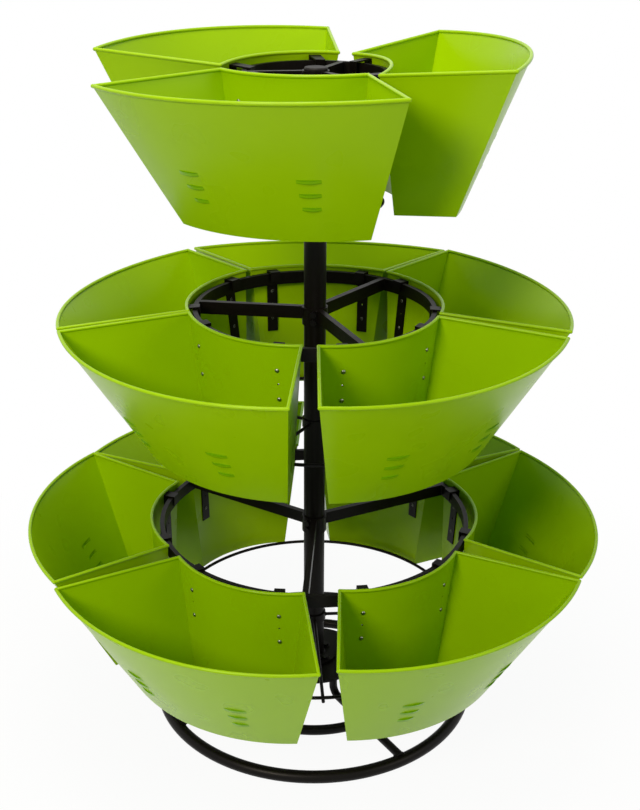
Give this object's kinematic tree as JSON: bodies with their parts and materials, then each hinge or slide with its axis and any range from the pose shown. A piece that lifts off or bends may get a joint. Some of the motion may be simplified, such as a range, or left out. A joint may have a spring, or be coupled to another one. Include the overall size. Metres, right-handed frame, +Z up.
{
  "type": "tiered raised planter",
  "caption": "Tiered raised planter: sheet-metal pots hang by hooks from rings that are clamped one above another on a pole standing on a round tube base.",
  "frame": {"origin": "on the pole's axis at floor level", "axes": "+Z up the pole, -Y towards the front, +X to the right seen from the front"},
  "size_m": [1.0262, 1.0082, 1.2052],
  "materials": {
    "green_powder_coat": "glossy",
    "brown_powder_coat": "satin",
    "zinc_plate": "satin",
    "black_plastic": "matte"
  },
  "bodies": {
    "stand": {"floor_ring": "brown_powder_coat", "inner_ring": "brown_powder_coat", "base_legs": "brown_powder_coat", "base_plate": "brown_powder_coat", "pole_flange": "brown_powder_coat", "flange_bolts": "zinc_plate", "pole": "brown_powder_coat", "pole_cap": "black_plastic"},
    "top_tier": {"top_hub": "brown_powder_coat", "top_spokes": "brown_powder_coat", "top_ring": "brown_powder_coat", "top_lower_hub": "brown_powder_coat", "top_lower_rods": "brown_powder_coat", "top_lower_ring": "brown_powder_coat", "top_set_screws": "zinc_plate"},
    "top_pot_1_hung": {"top_pot_1": "green_powder_coat", "top_hooks_1": "brown_powder_coat"},
    "top_pot_2_hung": {"top_pot_2": "green_powder_coat", "top_hooks_2": "brown_powder_coat"},
    "top_pot_3_hung": {"top_pot_3": "green_powder_coat", "top_hooks_3": "brown_powder_coat"},
    "middle_tier": {"middle_hub": "brown_powder_coat", "middle_spokes": "brown_powder_coat", "middle_ring": "brown_powder_coat", "middle_lower_hub": "brown_powder_coat", "middle_lower_rods": "brown_powder_coat", "middle_lower_ring": "brown_powder_coat", "middle_set_screws": "zinc_plate"},
    "middle_pot_1_hung": {"middle_pot_1": "green_powder_coat", "middle_hooks_1": "brown_powder_coat"},
    "middle_pot_2_hung": {"middle_pot_2": "green_powder_coat", "middle_hooks_2": "brown_powder_coat"},
    "middle_pot_3_hung": {"middle_pot_3": "green_powder_coat", "middle_hooks_3": "brown_powder_coat"},
    "middle_pot_4_hung": {"middle_pot_4": "green_powder_coat", "middle_hooks_4": "brown_powder_coat"},
    "middle_pot_5_hung": {"middle_pot_5": "green_powder_coat", "middle_hooks_5": "brown_powder_coat"},
    "bottom_tier": {"bottom_hub": "brown_powder_coat", "bottom_spokes": "brown_powder_coat", "bottom_ring": "brown_powder_coat", "bottom_lower_hub": "brown_powder_coat", "bottom_lower_rods": "brown_powder_coat", "bottom_lower_ring": "brown_powder_coat", "bottom_set_screws": "zinc_plate"},
    "bottom_pot_1_hung": {"bottom_pot_1": "green_powder_coat", "bottom_hooks_1": "brown_powder_coat"},
    "bottom_pot_2_hung": {"bottom_pot_2": "green_powder_coat", "bottom_hooks_2": "brown_powder_coat"},
    "bottom_pot_3_hung": {"bottom_pot_3": "green_powder_coat", "bottom_hooks_3": "brown_powder_coat"},
    "bottom_pot_4_hung": {"bottom_pot_4": "green_powder_coat", "bottom_hooks_4": "brown_powder_coat"},
    "bottom_pot_5_hung": {"bottom_pot_5": "green_powder_coat", "bottom_hooks_5": "brown_powder_coat"},
    "bottom_pot_6_hung": {"bottom_pot_6": "green_powder_coat", "bottom_hooks_6": "brown_powder_coat"}
  },
  "joints": [
    {"name": "top_tier_turn", "type": "hinge", "parent": "stand", "child": "top_tier", "pos_m": [0, 0, 1.1645], "axis": [0, 0, 1], "continuous": true},
    {"name": "top_pot_1_lift", "type": "slide", "parent": "top_tier", "child": "top_pot_1_hung", "axis": [0, 0, 1], "range_m": [0, 0.03]},
    {"name": "top_pot_2_lift", "type": "slide", "parent": "top_tier", "child": "top_pot_2_hung", "axis": [0, 0, 1], "range_m": [0, 0.03]},
    {"name": "top_pot_3_lift", "type": "slide", "parent": "top_tier", "child": "top_pot_3_hung", "axis": [0, 0, 1], "range_m": [0, 0.03]},
    {"name": "middle_tier_turn", "type": "hinge", "parent": "stand", "child": "middle_tier", "pos_m": [0, 0, 0.772], "axis": [0, 0, 1], "continuous": true},
    {"name": "middle_pot_1_lift", "type": "slide", "parent": "middle_tier", "child": "middle_pot_1_hung", "axis": [0, 0, 1], "range_m": [0, 0.03]},
    {"name": "middle_pot_2_lift", "type": "slide", "parent": "middle_tier", "child": "middle_pot_2_hung", "axis": [0, 0, 1], "range_m": [0, 0.03]},
    {"name": "middle_pot_3_lift", "type": "slide", "parent": "middle_tier", "child": "middle_pot_3_hung", "axis": [0, 0, 1], "range_m": [0, 0.03]},
    {"name": "middle_pot_4_lift", "type": "slide", "parent": "middle_tier", "child": "middle_pot_4_hung", "axis": [0, 0, 1], "range_m": [0, 0.03]},
    {"name": "middle_pot_5_lift", "type": "slide", "parent": "middle_tier", "child": "middle_pot_5_hung", "axis": [0, 0, 1], "range_m": [0, 0.03]},
    {"name": "bottom_tier_turn", "type": "hinge", "parent": "stand", "child": "bottom_tier", "pos_m": [0, 0, 0.3701], "axis": [0, 0, 1], "continuous": true},
    {"name": "bottom_pot_1_lift", "type": "slide", "parent": "bottom_tier", "child": "bottom_pot_1_hung", "axis": [0, 0, 1], "range_m": [0, 0.03]},
    {"name": "bottom_pot_2_lift", "type": "slide", "parent": "bottom_tier", "child": "bottom_pot_2_hung", "axis": [0, 0, 1], "range_m": [0, 0.03]},
    {"name": "bottom_pot_3_lift", "type": "slide", "parent": "bottom_tier", "child": "bottom_pot_3_hung", "axis": [0, 0, 1], "range_m": [0, 0.03]},
    {"name": "bottom_pot_4_lift", "type": "slide", "parent": "bottom_tier", "child": "bottom_pot_4_hung", "axis": [0, 0, 1], "range_m": [0, 0.03]},
    {"name": "bottom_pot_5_lift", "type": "slide", "parent": "bottom_tier", "child": "bottom_pot_5_hung", "axis": [0, 0, 1], "range_m": [0, 0.03]},
    {"name": "bottom_pot_6_lift", "type": "slide", "parent": "bottom_tier", "child": "bottom_pot_6_hung", "axis": [0, 0, 1], "range_m": [0, 0.03]}
  ]
}
